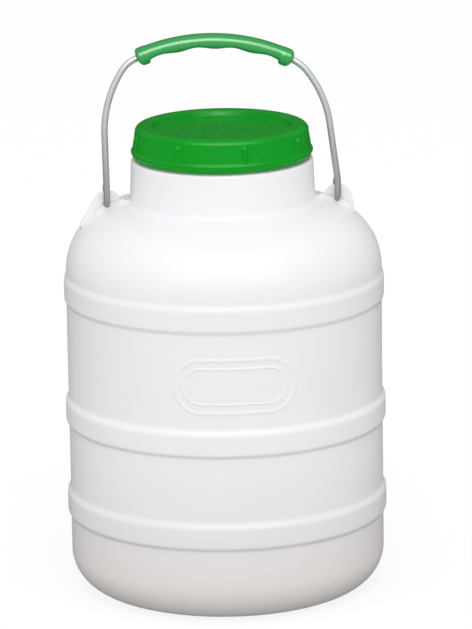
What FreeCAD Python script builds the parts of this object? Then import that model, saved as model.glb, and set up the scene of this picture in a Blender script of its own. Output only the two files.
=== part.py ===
import FreeCAD, Part
import math
import os

# A round, blow-moulded, wide-mouth canister of about ten litres, stood on its base.
# Three bands run round the wall. The shoulder carries a wide neck, closed by a ribbed
# screw lid, and two ears, which hold the hooked ends of a swinging wire bail. A moulded
# grip with finger hollows sits on the bail. The canister is shut, so it is solid inside.
# Origin: centre of the base. +Z is up, -Y is the front, and the ears lie along X. In mm.

# ---- canister ------------------------------------------------------------------
WALL_R = 112.1            # radius of the plain wall
FOOT_R = 28.0             # radius of the rounded edge at the base
LOW_BAND_Z = 64.0         # height of the middle of the lowest band's face
MID_BAND_DROP = 10.6      # the middle band lies this far below half way between the others
TOP_BAND_GAP = 0.2        # plain wall left between the highest band and the shoulder
BAND_FACE_H = 11.5        # height of a band's flat face
BAND_UNDER_H = 5.0        # height of the curved step below a band's face
BAND_OVER_H = 7.0         # and of the longer one above it
BAND_PROUD = 2.4          # how far the two lower bands stand out from the wall
TOP_BAND_PROUD = 1.6      # how far the highest band does
SHOULDER_Z = 232.2        # height at which the wall turns into the shoulder
SHOULDER_SLOPE = 7.4      # slope of the shoulder's top, degrees
SHOULDER_FLAT = 0.5       # straight slope left between the shoulder's turn and the neck
NECK_R = 64.4             # neck radius just under the lid
NECK_TAPER = 0.9          # how much wider the neck is at the shoulder
NECK_FILLET_R = 5.8       # hollow curve from shoulder to neck
NECK_EDGE_R = 1.8         # rounded edge of the ledge under the lid
NECK_H = 32.2             # from the shoulder's top edge to the ledge

# ---- plain label frame on the front: a raised ring round a raised inner line ------
LABEL_W = 88.0
LABEL_H = 40.0
LABEL_LINE = 2.4          # width of the outer ring
LABEL_GAP = 4.2           # plain space between the ring and the inner line
LABEL_INNER_LINE = 1.4
LABEL_PROUD = 0.5
LABEL_DROP = 2.1          # the frame's middle lies this far below half way between two bands

# ---- ears --------------------------------------------------------------------
EAR_OUT = 16.4            # from the neck's foot to the middle of each ear's hole
EAR_RISE = 3.6            # from the shoulder's surface up to the hole's middle
EAR_T = 4.2               # thickness
EAR_TOP_CLEAR = 1.04      # between the inside of the hook and the ear's top
EAR_HOLE_CLEAR = 0.18     # between the inside of the hook and the hole's upper edge
EAR_EDGE_R = 0.9          # rounded outer rim
EAR_HOLE_CHAMFER = 0.4    # chamfer round the hole
EAR_OUTER_FLARE = 12.0    # degrees by which the side away from the neck leans out
EAR_INNER_FLARE = 30.0    # and the side next to the neck, which runs down to its foot
EAR_ROOT = 16.0           # how far the ear reaches down into the shoulder

# ---- lid -----------------------------------------------------------------------
LID_H = 23.1
LID_LEDGE_GAP = 1.0       # between the ledge and the lid's lower edge
LID_SET_IN = 1.2          # how far the skirt lies inside the neck's wall
LID_BEAD_Z = 4.7          # from the lid's lower edge to the middle of the bead round it
LID_BEAD_H = 4.0
LID_BEAD_PROUD = 1.1      # how far the bead stands out from the skirt
LID_HEM_IN = 0.8          # how far the lower edge lies inside the skirt
LID_HEM_ROUND = 1.0       # rounded lower edge
LID_TAPER = 1.9           # how much the skirt closes in towards the top
LID_EDGE_R = 4.2          # rounded top edge
LID_BRIM_W = 13.8         # from the skirt's top to the edge of the recess floor
LID_RECESS_DEPTH = 4.0
LID_RECESS_WALL = 2.0     # how far the recess's sloped wall reaches outwards
LID_RECESS_EDGE_R = 1.4   # rounded upper edge of the recess
LID_PANEL_T = 2.2         # thickness of the lid's floor
LID_SKIRT_T = 3.2         # thickness of the skirt above the bead
LID_FIT = 0.3             # radial clearance between the skirt and the neck's finish
RIB_COUNT = 8
RIB_PHASE = 11.2          # degrees from the front to the first rib, towards +X
RIB_W = 3.8
RIB_PROUD = 0.4           # how far a rib stands out from the skirt at its foot
RIB_TOP_DROP = 4.6        # from the lid's top to the top of a rib

# ---- bail ----------------------------------------------------------------------
WIRE_R = 2.3
HOOK_R = 7.0              # radius of the hook's centre line
HOOK_SWEEP = 240.0        # degrees of the hook's turn
HOOK_SIDE_CLEAR = 0.2     # both hooks lie over towards -X, this far from the holes' walls
CROWN_RISE = 108.6        # from the pivot to the wire's crown
ARCH_R = 128.0            # radius of the arched wire inside the grip
CORNER_RUN = 6.8          # straight used up on each side of the corner beside the grip
BEND_IN = 3.4             # the bail's shoulders lie this far inside the ears
BEND_DROP = 40.8          # and this far below the crown
BEND_FLAT = 1.5           # straight left between the corner and the bail's shoulder
KNEE_RISE = 7.5           # the legs leave the hooks straight up as far as this
KNEE_RUN = 2.5
CROWN_SWAY = 4.3          # the crown leans this far towards -X of the ears' middle
BEND_SWAY = 4.9           # and the bail's shoulders this far
CROWN_TILT = 2.0          # degrees by which the crown's +X end hangs lower
WIRE_END_R = 0.7          # rounded cut end

# ---- grip ----------------------------------------------------------------------
GRIP_HALF = 54.3          # half of the grip's length, measured along the arch's chord
GRIP_BORE_CLEAR = 0.1     # radial clearance round the wire
GRIP_END_GAP = 1.3        # from the grip's end to the start of the wire's corner
GRIP_W = 16.5
GRIP_TOP = 5.9            # from the wire's centre to the grip's top
GRIP_UNDER = 4.6          # from the wire's centre to the ridges between the fingers
GRIP_TOP_ROUND = 4.6      # rounding of the upper long edges
GRIP_UNDER_ROUND = 3.0    # rounding of the lower long edges
FINGER_COUNT = 4
FINGER_INSET = 2.3        # from the grip's end to the first finger hollow
FINGER_DEPTH = 1.5
COLLAR_LEN = 8.5          # length of the thicker collar at each end
COLLAR_LIFT = 0.3         # how far it stands above the grip's top
COLLAR_UNDER = 6.4        # from the wire's centre to the collar's lower rim
COLLAR_W = 17.9
COLLAR_TILT = 1.6         # how far the lower rim lies behind the middle of the end face
COLLAR_ROUND = 2.2        # rounding of the collar's corners, seen from the front
COLLAR_EDGE = 1.8         # rounding of its front and back edges

# ---- sizes that follow from the ones above -----------------------------------------
NECK_BASE_R = NECK_R + NECK_TAPER
SHOULDER_SIN = math.sin(math.radians(SHOULDER_SLOPE))
SHOULDER_COS = math.cos(math.radians(SHOULDER_SLOPE))
# The shoulder's turn has the radius that brings it into the neck's hollow curve.
SHOULDER_R = ((WALL_R - NECK_BASE_R - NECK_FILLET_R * (1 - SHOULDER_SIN)
               - SHOULDER_FLAT * SHOULDER_COS) / (1 - SHOULDER_SIN))
TOP_BAND_Z = SHOULDER_Z - TOP_BAND_GAP - BAND_OVER_H - BAND_FACE_H / 2
MID_BAND_Z = (LOW_BAND_Z + TOP_BAND_Z) / 2 - MID_BAND_DROP
LABEL_Z = (MID_BAND_Z + TOP_BAND_Z) / 2 - LABEL_DROP
LID_SKIRT_R = NECK_R - LID_SET_IN
LID_RIM_R = LID_SKIRT_R - LID_TAPER
LID_RECESS_R = LID_RIM_R - LID_BRIM_W
# The ear's hole and top clear the inside of the hook, at the ear's flat faces.
HOOK_INNER_R = HOOK_R - WIRE_R
EAR_HOLE_R = HOOK_R - math.sqrt((HOOK_INNER_R - EAR_HOLE_CLEAR) ** 2 - (EAR_T / 2) ** 2)
EAR_R = HOOK_R + math.sqrt((HOOK_INNER_R - EAR_TOP_CLEAR) ** 2 - (EAR_T / 2) ** 2)
HOOK_SHIFT = EAR_HOLE_R - WIRE_R - HOOK_SIDE_CLEAR
ARCH_TURN = math.degrees(math.asin((GRIP_HALF + GRIP_END_GAP) / ARCH_R))
FINGER_PITCH = 2 * (GRIP_HALF - FINGER_INSET) / FINGER_COUNT
BAIL_Y = -HOOK_R


def vec(x, y, z):
    return FreeCAD.Vector(x, y, z)


class Outline:
    """A chain of straight and round edges in the XZ plane."""

    def __init__(self, x, z):
        self.start = self.here = (x, z)
        self.edges = []

    def line(self, x, z):
        """Go straight to a point."""
        self.edges.append(Part.LineSegment(vec(self.here[0], 0, self.here[1]), vec(x, 0, z)).toShape())
        self.here = (x, z)
        return self

    def turn(self, radius, start, end):
        """Follow a circle from one angle to another, in degrees from +X towards +Z."""
        first, last = math.radians(start), math.radians(end)
        cx = self.here[0] - radius * math.cos(first)
        cz = self.here[1] - radius * math.sin(first)

        def on_circle(angle):
            return (cx + radius * math.cos(angle), cz + radius * math.sin(angle))

        middle, target = on_circle((first + last) / 2), on_circle(last)
        arc = Part.Arc(vec(self.here[0], 0, self.here[1]), vec(middle[0], 0, middle[1]),
                       vec(target[0], 0, target[1]))
        self.edges.append(arc.toShape())
        self.here = target
        return self

    def face(self):
        """Close the chain and fill it."""
        self.line(*self.start)
        return Part.Face(Part.Wire(self.edges))

    def turned(self):
        """The solid swept by the closed chain about the Z axis."""
        return self.face().revolve(vec(0, 0, 0), vec(0, 0, 1), 360)


def soft_step(width, height):
    """Radius and turn of the two equal arcs that make a soft step."""
    return ((width ** 2 + height ** 2) / (4 * width),
            math.degrees(2 * math.atan(width / height)))


def add_band(outline, centre, proud):
    """Step out to a band's face, climb it and step back to the wall, with soft steps."""
    half = BAND_FACE_H / 2
    radius, swing = soft_step(proud, BAND_UNDER_H)
    outline.line(WALL_R, centre - half - BAND_UNDER_H)
    outline.turn(radius, 180, 180 - swing).turn(radius, -swing, 0)
    outline.line(WALL_R + proud, centre + half)
    radius, swing = soft_step(proud, BAND_OVER_H)
    outline.turn(radius, 0, swing).turn(radius, 180 + swing, 180)


def shoulder_z(x):
    """Height of the shoulder's round turn at a distance from the axis."""
    return SHOULDER_Z + math.sqrt(SHOULDER_R ** 2 - (x - WALL_R + SHOULDER_R) ** 2)


def shoulder_end():
    """Where the shoulder's straight slope runs into the neck's hollow curve."""
    x = NECK_BASE_R + NECK_FILLET_R * (1 - SHOULDER_SIN)
    z = SHOULDER_Z + SHOULDER_R * SHOULDER_COS + SHOULDER_FLAT * SHOULDER_SIN
    return x, z


def ledge_z():
    """Height of the ledge that the lid's lower edge hangs over."""
    return shoulder_end()[1] + NECK_H


def lid_top_z():
    return ledge_z() + LID_LEDGE_GAP + LID_H


def finish_top_z():
    """Top of the neck's finish, which the lid's floor seats on."""
    return lid_top_z() - LID_RECESS_DEPTH - LID_PANEL_T


def finish_r():
    """Radius of the part of the neck inside the lid."""
    return LID_SKIRT_R - LID_SKIRT_T - LID_FIT


def ear_x():
    """From the axis to the middle of each ear's hole."""
    return NECK_BASE_R + EAR_OUT


def ear_hole_z():
    return shoulder_z(ear_x()) + EAR_RISE


def pivot_z():
    """Height of the line the bail swings about."""
    return ear_hole_z() + HOOK_R


def crown_z():
    """Height of the wire's centre line at the middle of the grip."""
    return pivot_z() + CROWN_RISE


def canister_body():
    """The turned body: rounded foot, three bands, shoulder, neck and finish."""
    outline = Outline(0, 0).line(WALL_R - FOOT_R, 0).turn(FOOT_R, -90, 0)
    add_band(outline, LOW_BAND_Z, BAND_PROUD)
    add_band(outline, MID_BAND_Z, BAND_PROUD)
    add_band(outline, TOP_BAND_Z, TOP_BAND_PROUD)
    outline.line(WALL_R, SHOULDER_Z).turn(SHOULDER_R, 0, 90 - SHOULDER_SLOPE)
    outline.line(*shoulder_end())
    taper = math.degrees(math.atan((NECK_BASE_R - NECK_R) / NECK_H))
    outline.turn(NECK_FILLET_R, 270 - SHOULDER_SLOPE, 180 + taper)
    outline.line(NECK_R, ledge_z() - NECK_EDGE_R).turn(NECK_EDGE_R, 0, 90)
    outline.line(finish_r(), ledge_z()).line(finish_r(), finish_top_z()).line(0, finish_top_z())
    return outline.turned()


def rounded_plate(width, height):
    """A long-round plate in the XZ plane, from the axis out past the front wall."""
    radius = height / 2
    half = width / 2 - radius
    outline = Outline(half, -radius).turn(radius, -90, 90).line(-half, radius)
    outline.turn(radius, 90, 270)
    plate = outline.face().extrude(vec(0, -2 * WALL_R, 0))
    plate.translate(vec(0, 0, LABEL_Z))
    return plate


def label_frame():
    """Two raised lines, one inside the other, lying on the front of the wall."""
    inner_w = LABEL_W - 2 * (LABEL_LINE + LABEL_GAP)
    inner_h = LABEL_H - 2 * (LABEL_LINE + LABEL_GAP)
    ring = rounded_plate(LABEL_W, LABEL_H).cut(
        rounded_plate(LABEL_W - 2 * LABEL_LINE, LABEL_H - 2 * LABEL_LINE))
    line = rounded_plate(inner_w, inner_h).cut(
        rounded_plate(inner_w - 2 * LABEL_INNER_LINE, inner_h - 2 * LABEL_INNER_LINE))
    base = vec(0, 0, LABEL_Z - LABEL_H)
    skin = Part.makeCylinder(WALL_R + LABEL_PROUD, 2 * LABEL_H, base)
    skin = skin.cut(Part.makeCylinder(WALL_R - 1, 2 * LABEL_H, base))
    return [ring.common(skin), line.common(skin)]


def round_top_point(x, z, angle):
    """A point on the round top of an ear whose hole's middle is at x and z."""
    turn = math.radians(angle)
    return x + EAR_R * math.cos(turn), z + EAR_R * math.sin(turn)


def ear_foot(flare):
    """From the hole's middle to the foot of a side that leans out by an angle."""
    turn = math.radians(flare)
    return EAR_R / math.cos(turn) + EAR_ROOT * math.tan(turn)


def ear(side):
    """One ear, standing on the shoulder with its flat faces to the front and back."""
    x, hole_z = side * ear_x(), ear_hole_z()
    right, left = EAR_OUTER_FLARE, EAR_INNER_FLARE
    if side < 0:
        right, left = left, right
    outline = Outline(x + ear_foot(right), hole_z - EAR_ROOT)
    outline.line(*round_top_point(x, hole_z, right)).turn(EAR_R, right, 180 - left)
    outline.line(x - ear_foot(left), hole_z - EAR_ROOT)
    tab = outline.face().extrude(vec(0, EAR_T, 0))
    tab.translate(vec(0, -EAR_T / 2, 0))
    rims = [edge for edge in tab.Edges if edge.BoundBox.YLength < EAR_T / 2
            and edge.BoundBox.ZMax > hole_z - EAR_ROOT / 2]
    tab = tab.makeFillet(EAR_EDGE_R, rims)
    hole = Part.makeCylinder(EAR_HOLE_R, 2 * EAR_T, vec(x, -EAR_T, hole_z), vec(0, 1, 0))
    flare_r = EAR_HOLE_R + EAR_HOLE_CHAMFER
    for face_side in (-1, 1):
        mouth = Part.makeCone(EAR_HOLE_R, flare_r, EAR_HOLE_CHAMFER,
                              vec(x, face_side * (EAR_T / 2 - EAR_HOLE_CHAMFER), hole_z),
                              vec(0, face_side, 0))
        hole = hole.fuse(mouth)
    return tab.cut(hole)


def canister():
    """The whole moulding: body, ears and the plain label frame."""
    extras = label_frame() + [ear(-1), ear(1)]
    return canister_body().multiFuse(extras).removeSplitter().Solids[0]


def lid_rib(angle):
    """One upright rib on the lid's skirt, with a rounded top."""
    radius = RIB_W / 2
    foot = ledge_z() + LID_LEDGE_GAP + LID_BEAD_Z
    top = lid_top_z() - RIB_TOP_DROP - radius
    out = LID_SKIRT_R + RIB_PROUD - radius
    bar = Part.makeCylinder(radius, top - foot, vec(0, -out, foot))
    rib = bar.fuse(Part.makeSphere(radius, vec(0, -out, top)))
    rib.rotate(vec(0, 0, 0), vec(0, 0, 1), angle)
    return rib


def lid():
    """The screw lid: a cup with a bead, a tapered skirt, ribs and a recessed top."""
    low = ledge_z() + LID_LEDGE_GAP
    top = lid_top_z()
    half = LID_BEAD_H / 2
    bead_r = (half ** 2 + LID_BEAD_PROUD ** 2) / (2 * LID_BEAD_PROUD)
    bead_turn = math.degrees(math.asin(half / bead_r))
    inner = LID_SKIRT_R - LID_SKIRT_T
    hem = LID_SKIRT_R - LID_HEM_IN
    floor_z = top - LID_RECESS_DEPTH
    wall_slope = math.degrees(math.atan2(LID_RECESS_DEPTH, LID_RECESS_WALL))
    edge = LID_RECESS_EDGE_R * math.tan(math.radians(wall_slope / 2))
    outline = Outline(inner, low).line(hem - LID_HEM_ROUND, low).turn(LID_HEM_ROUND, -90, 0)
    outline.line(LID_SKIRT_R, low + LID_BEAD_Z - half).turn(bead_r, -bead_turn, bead_turn)
    outline.line(LID_RIM_R, top - LID_EDGE_R).turn(LID_EDGE_R, 0, 90)
    outline.line(LID_RECESS_R + LID_RECESS_WALL + edge, top)
    outline.turn(LID_RECESS_EDGE_R, 90, 90 + wall_slope)
    outline.line(LID_RECESS_R, floor_z).line(0, floor_z)
    outline.line(0, finish_top_z()).line(inner, finish_top_z())
    ribs = [lid_rib(RIB_PHASE + number * 360 / RIB_COUNT) for number in range(RIB_COUNT)]
    return outline.turned().multiFuse(ribs).removeSplitter().Solids[0]


def rounded_path(points, runs):
    """Straight edges through the points, with an arc that uses up the given run at each corner."""
    edges = []
    here = points[0]
    for before, corner, after, run in zip(points, points[1:], points[2:], runs):
        back = (before - corner).normalize()
        ahead = (after - corner).normalize()
        half_turn = (math.pi - back.getAngle(ahead)) / 2
        radius = run / math.tan(half_turn)
        towards = (back + ahead).normalize()
        middle = corner + towards * (radius / math.cos(half_turn) - radius)
        first, last = corner + back * run, corner + ahead * run
        if (first - here).Length > 1e-6:
            edges.append(Part.LineSegment(here, first).toShape())
        edges.append(Part.Arc(first, middle, last).toShape())
        here = last
    edges.append(Part.LineSegment(here, points[-1]).toShape())
    return edges


def crown_point(along, up):
    """A point in the bail's plane, measured from the wire's crown along the tilted arch's chord."""
    tilt = math.radians(CROWN_TILT)
    return vec(along * math.cos(tilt) + up * math.sin(tilt) - CROWN_SWAY, BAIL_Y,
               crown_z() - along * math.sin(tilt) + up * math.cos(tilt))


def arch_point(angle, offset=0.0):
    """A point on the arch at an angle from the crown, moved off the wire's centre line."""
    radius = ARCH_R + offset
    turn = math.radians(angle)
    return crown_point(radius * math.sin(turn), radius * math.cos(turn) - ARCH_R)


def arch():
    """The wire's centre line inside the grip."""
    return Part.Arc(arch_point(-ARCH_TURN), arch_point(0), arch_point(ARCH_TURN)).toShape()


def hook_x(side):
    return side * ear_x() - HOOK_SHIFT


def leg_path(side):
    """From the arch's end on one side, round its corner, down to the top of that side's hook."""
    turn = math.radians(ARCH_TURN)
    corner = crown_point(side * (ARCH_R * math.sin(turn) + CORNER_RUN * math.cos(turn)),
                         ARCH_R * (math.cos(turn) - 1) - CORNER_RUN * math.sin(turn))
    bend = vec(side * (ear_x() - BEND_IN) - BEND_SWAY, BAIL_Y, crown_z() - BEND_DROP)
    knee = vec(hook_x(side), BAIL_Y, pivot_z() + KNEE_RISE)
    pivot = vec(hook_x(side), BAIL_Y, pivot_z())
    points = [arch_point(side * ARCH_TURN), corner, bend, knee, pivot]
    bend_run = corner.distanceToPoint(bend) - CORNER_RUN - BEND_FLAT
    return rounded_path(points, [CORNER_RUN, bend_run, KNEE_RUN])


def hook_path(side):
    """Down in front of the ear, back through its hole and up again behind it."""
    def on_hook(sweep):
        turn = math.radians(180 + sweep)
        return vec(hook_x(side), HOOK_R * math.cos(turn), pivot_z() + HOOK_R * math.sin(turn))
    return Part.Arc(on_hook(0), on_hook(HOOK_SWEEP / 2), on_hook(HOOK_SWEEP)).toShape()


def tube(edges, radius):
    """A round bar along a chain of edges, with the same radius all the way."""
    path = Part.Wire(Part.__sortEdges__(edges))
    start = path.OrderedEdges[0]
    parameter = start.FirstParameter if start.Orientation == "Forward" else start.LastParameter
    circle = Part.Circle(start.valueAt(parameter), start.tangentAt(parameter), radius)
    return path.makePipeShell([Part.Wire(circle.toShape())], True, True)


def bail_wire():
    """The bent wire: hook, leg, arch, leg and hook."""
    edges = [hook_path(-1)] + leg_path(-1) + [arch()] + leg_path(1) + [hook_path(1)]
    wire = tube(edges, WIRE_R)
    print("wire volume over section times length: %.4f"
          % (wire.Volume / (math.pi * WIRE_R ** 2 * sum(edge.Length for edge in edges))))
    ends = [edge for edge in wire.Edges if edge.Length < 7 * WIRE_R and edge.CenterOfMass.y > 0]
    return wire.makeFillet(WIRE_END_R, ends).Solids[0]


def arch_offset_point(distance, offset):
    """A point at a distance from the grip's middle, offset outwards from the wire's centre."""
    return arch_point(math.degrees(math.asin(distance / ARCH_R)), offset)


def smooth_curve(start, end, count, offset):
    """A smooth edge along the arch from start to end, offset by a function of the distance."""
    distances = [start + (end - start) * number / count for number in range(count + 1)]
    curve = Part.BSplineCurve()
    curve.interpolate([arch_offset_point(distance, offset(distance)) for distance in distances])
    return curve.toShape()


def grip_top(distance):
    """From the wire's centre to the top of the grip, the same all along the arch."""
    return GRIP_TOP


def grip_under(distance):
    """The same to the underside, as a negative number: hollows between low ridges."""
    reach = FINGER_COUNT * FINGER_PITCH / 2
    ends = 1 if abs(distance) < reach else 0
    return -(GRIP_UNDER - ends * FINGER_DEPTH * math.sin(math.pi * distance / FINGER_PITCH) ** 2)


def bar(start, end, count, top, under, width, top_r, under_r):
    """A bar along the arch between two curves, with its long edges rounded."""
    above = smooth_curve(start, end, count, top)
    below = smooth_curve(end, start, count, under)
    corners = [edge.valueAt(at) for edge in (above, below)
               for at in (edge.FirstParameter, edge.LastParameter)]
    wire = Part.Wire([above, Part.LineSegment(corners[1], corners[2]).toShape(), below,
                      Part.LineSegment(corners[3], corners[0]).toShape()])
    block = Part.Face(wire).extrude(vec(0, width, 0))
    block.translate(vec(0, -width / 2, 0))
    length = 0.9 * above.Length
    for radius, side in ((top_r, 1), (under_r, -1)):
        middle = arch_offset_point((start + end) / 2, 0).z
        long_edges = [edge for edge in block.Edges if edge.Length > length
                      and side * (edge.CenterOfMass.z - middle) > 0]
        block = block.makeFillet(radius, long_edges)
    return block


def collar(side):
    """The rounded collar at one end, whose end face leans in towards its lower rim."""
    inner = GRIP_HALF - COLLAR_LEN
    top = GRIP_TOP + COLLAR_LIFT
    rim = GRIP_HALF - COLLAR_TILT
    corners = [(inner, top), (GRIP_HALF - COLLAR_TILT / 4, top), (GRIP_HALF, 0.0),
               (rim, -COLLAR_UNDER), (rim - COLLAR_LEN / 4, -COLLAR_UNDER),
               (inner, -GRIP_UNDER + COLLAR_LIFT)]
    points = [arch_offset_point(side * distance, offset) for distance, offset in corners]
    block = Part.Face(Part.makePolygon(points + points[:1])).extrude(vec(0, COLLAR_W, 0))
    block.translate(vec(0, -COLLAR_W / 2, 0))
    crossways = [edge for edge in block.Edges if edge.BoundBox.YLength > COLLAR_W / 2]
    block = block.makeFillet(COLLAR_ROUND, crossways)
    rims = [edge for edge in block.Edges if edge.BoundBox.YLength < COLLAR_W / 2]
    return block.makeFillet(COLLAR_EDGE, rims)


def grip():
    """The moulded grip, arched like the wire, with finger hollows below and end collars."""
    middle_half = GRIP_HALF - COLLAR_LEN / 2
    middle = bar(-middle_half, middle_half, 64, grip_top, grip_under, GRIP_W, GRIP_TOP_ROUND,
                 GRIP_UNDER_ROUND)
    body = middle.multiFuse([collar(-1), collar(1)])
    bore = [leg_path(-1)[0], arch(), leg_path(1)[0]]
    return body.cut(tube(bore, WIRE_R + GRIP_BORE_CLEAR)).removeSplitter().Solids[0]


def main():
    os.makedirs("parts", exist_ok=True)
    nodes = {"canister": canister(), "lid": lid(), "bail_wire": bail_wire(), "grip": grip()}
    for name, shape in nodes.items():
        shape.exportStep("parts/" + name + ".step")
        box = shape.optimalBoundingBox(False)
        print(name, shape.ShapeType, "solids", len(shape.Solids), "valid", shape.isValid(),
              "volume %.0f" % shape.Volume, "z %.2f to %.2f" % (box.ZMin, box.ZMax),
              "x %.2f to %.2f" % (box.XMin, box.XMax), "y %.2f to %.2f" % (box.YMin, box.YMax))


main()
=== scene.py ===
"""A round wide-mouth canister with a ribbed screw lid and a swinging wire bail.

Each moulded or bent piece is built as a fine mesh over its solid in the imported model, in the
same place and at the same size, and gets a procedural material. Sizes are in millimetres
until a mesh is made.
"""

import logging
import math
from dataclasses import dataclass, field
from enum import Enum
from typing import Any, Callable

import bpy
import numpy as np
from bpy.types import Material, Node, NodeSocket, NodeTree, Object
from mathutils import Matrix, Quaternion, Vector

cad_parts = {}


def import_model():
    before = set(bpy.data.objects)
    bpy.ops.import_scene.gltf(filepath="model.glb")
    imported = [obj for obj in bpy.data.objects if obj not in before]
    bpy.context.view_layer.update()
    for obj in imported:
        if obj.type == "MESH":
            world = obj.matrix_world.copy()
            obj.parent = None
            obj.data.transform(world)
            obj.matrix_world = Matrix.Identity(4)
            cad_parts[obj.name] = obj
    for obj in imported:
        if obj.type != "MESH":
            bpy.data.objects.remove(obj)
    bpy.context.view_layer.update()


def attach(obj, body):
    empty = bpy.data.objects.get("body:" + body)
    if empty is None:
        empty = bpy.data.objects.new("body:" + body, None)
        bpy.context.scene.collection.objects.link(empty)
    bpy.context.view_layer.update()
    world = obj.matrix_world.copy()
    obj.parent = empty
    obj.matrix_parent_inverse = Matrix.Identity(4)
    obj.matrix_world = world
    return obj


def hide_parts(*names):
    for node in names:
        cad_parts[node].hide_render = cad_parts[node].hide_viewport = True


LOG = logging.getLogger("canister")
MM = 0.001
FRONT = -math.pi / 2  # the direction of -Y, as an angle from +X
CORNERS = ((-1, -1), (1, -1), (1, 1), (-1, 1))  # of a square, in turn


class Side(Enum):
    """The two sides of the bail and the ears, along X."""

    LEFT = -1
    RIGHT = 1


def linear(hex_colour: str) -> tuple[float, float, float, float]:
    """Turn an sRGB hex colour into linear light.

    Args:
        hex_colour: Six hex digits, with or without a leading #.

    Returns:
        Red, green, blue and an alpha of one.
    """
    digits = hex_colour.lstrip("#")
    shares = [int(digits[at : at + 2], 16) / 255 for at in (0, 2, 4)]
    red, green, blue = (
        share / 12.92 if share <= 0.04045 else ((share + 0.055) / 1.055) ** 2.4 for share in shares
    )
    return red, green, blue, 1.0


def add_node(
    tree: NodeTree,
    kind: str,
    settings: dict[Any, Any],
    feeds: dict[Any, NodeSocket],
) -> Node:
    """Add a shader node, set its values and link what feeds it.

    Args:
        tree: The node tree that gets the node.
        kind: The node's type name, without ShaderNode in front.
        settings: Values by property name, socket name or socket number.
        feeds: Output sockets by the name or number of the input they go to.

    Returns:
        The new node.
    """
    node = tree.nodes.new("ShaderNode" + kind)
    for name, value in settings.items():
        if isinstance(name, str) and hasattr(node, name):
            setattr(node, name, value)
        else:
            node.inputs[name].default_value = value
    for name, source in feeds.items():
        tree.links.new(source, node.inputs[name])
    return node


def start_material(name: str) -> tuple[Material, NodeTree]:
    """Make a node material that has no nodes yet.

    Args:
        name: The material's name.

    Returns:
        The material and its node tree.
    """
    material = bpy.data.materials.new(name)
    material.use_nodes = True
    material.node_tree.nodes.clear()
    return material, material.node_tree


@dataclass(frozen=True)
class Pattern:
    """Noise with marks of one size, which may lie in the surface as fine relief."""

    size_mm: float
    detail: float
    stretch_z: float = 1.0
    roughness: float = 0.5
    distortion: float = 0.0
    depth_mm: float = 0.0


@dataclass(frozen=True)
class Skin:
    """A surface whose colour, gloss and relief follow patterns.

    The first pattern mixes the two colours, and the one numbered glossy sets the roughness.
    A third colour, painted shade, may fade in towards the lower end: fully at the first of two
    heights, and not at all at the second.
    """

    name: str
    colours: tuple[str, str]
    patterns: tuple[Pattern, ...]
    roughness: tuple[float, float]
    shader: dict[str, Any]
    glossy: int = 0
    painted_shade_colour: str = ""
    painted_shade_mm: tuple[float, float] = (0.0, 0.0)
    painted_shade_share: float = 1.0

    def build(self) -> Material:
        """Make the material.

        Returns:
            The finished material.
        """
        material, tree = start_material(self.name)
        place = add_node(tree, "TexCoord", {}, {}).outputs["Object"]
        noises, normal = [], {}
        for pattern in self.patterns:
            across = 1 / (pattern.size_mm * MM)
            scale = {"Scale": (across, across, across / pattern.stretch_z)}
            spot = add_node(tree, "Mapping", scale, {"Vector": place}).outputs["Vector"]
            marks = {
                "Scale": 1.0,
                "Detail": pattern.detail,
                "Roughness": pattern.roughness,
                "Distortion": pattern.distortion,
            }
            noises.append(add_node(tree, "TexNoise", marks, {"Vector": spot}).outputs["Fac"])
            if pattern.depth_mm:
                fine = {"Strength": 1.0, "Distance": pattern.depth_mm * MM}
                bump = add_node(tree, "Bump", fine, {"Height": noises[-1], **normal})
                normal = {"Normal": bump.outputs["Normal"]}
        both = {"data_type": "RGBA", 6: linear(self.colours[0]), 7: linear(self.colours[1])}
        colour = add_node(tree, "Mix", both, {0: noises[0]}).outputs[2]
        # Painted shade: a darker colour fades in towards the lower end.
        if self.painted_shade_colour:
            height = add_node(tree, "SeparateXYZ", {}, {"Vector": place}).outputs["Z"]
            fade = {
                "interpolation_type": "SMOOTHSTEP",
                "From Min": self.painted_shade_mm[0] * MM,
                "From Max": self.painted_shade_mm[1] * MM,
                "To Min": self.painted_shade_share,
                "To Max": 0.0,
            }
            low = add_node(tree, "MapRange", fade, {"Value": height}).outputs["Result"]
            third = {"data_type": "RGBA", 7: linear(self.painted_shade_colour)}
            colour = add_node(tree, "Mix", third, {0: low, 6: colour}).outputs[2]
        ends = {"To Min": self.roughness[0], "To Max": self.roughness[1]}
        rough = add_node(tree, "MapRange", ends, {"Value": noises[self.glossy]}).outputs["Result"]
        feeds = {"Base Color": colour, "Roughness": rough, **normal}
        shader = add_node(tree, "BsdfPrincipled", self.shader, feeds)
        add_node(tree, "OutputMaterial", {}, {"Surface": shader.outputs["BSDF"]})
        return material


def polypropylene(name: str, colours: tuple[str, str], roughness: float, shine: float) -> Skin:
    """Green polypropylene, injection-moulded in a polished tool.

    The pigment is strong and the skin smooth, so it shows small soft highlights on every
    edge, and faint flow clouds where the melt ran round the tool.

    Args:
        name: The material's name.
        colours: Its colour, and its colour where the melt flowed.
        roughness: Its middle roughness.
        shine: How strongly it mirrors, with 0.5 for a bare dielectric.

    Returns:
        The skin.
    """
    return Skin(
        name=name,
        colours=colours,
        patterns=(
            Pattern(22.0, detail=3.0, distortion=0.6),
            # The faint grain of the tool's steel.
            Pattern(1.2, detail=2.0, depth_mm=0.004),
        ),
        roughness=(roughness - 0.05, roughness + 0.06),
        # The pigment stops most light near the skin, and what comes back is green.
        shader={
            "IOR": 1.49,
            "Specular IOR Level": shine,
            "Subsurface Weight": 0.1,
            "Subsurface Radius": (0.3, 1.0, 0.4),
            "Subsurface Scale": 1.2 * MM,
        },
    )
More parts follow.
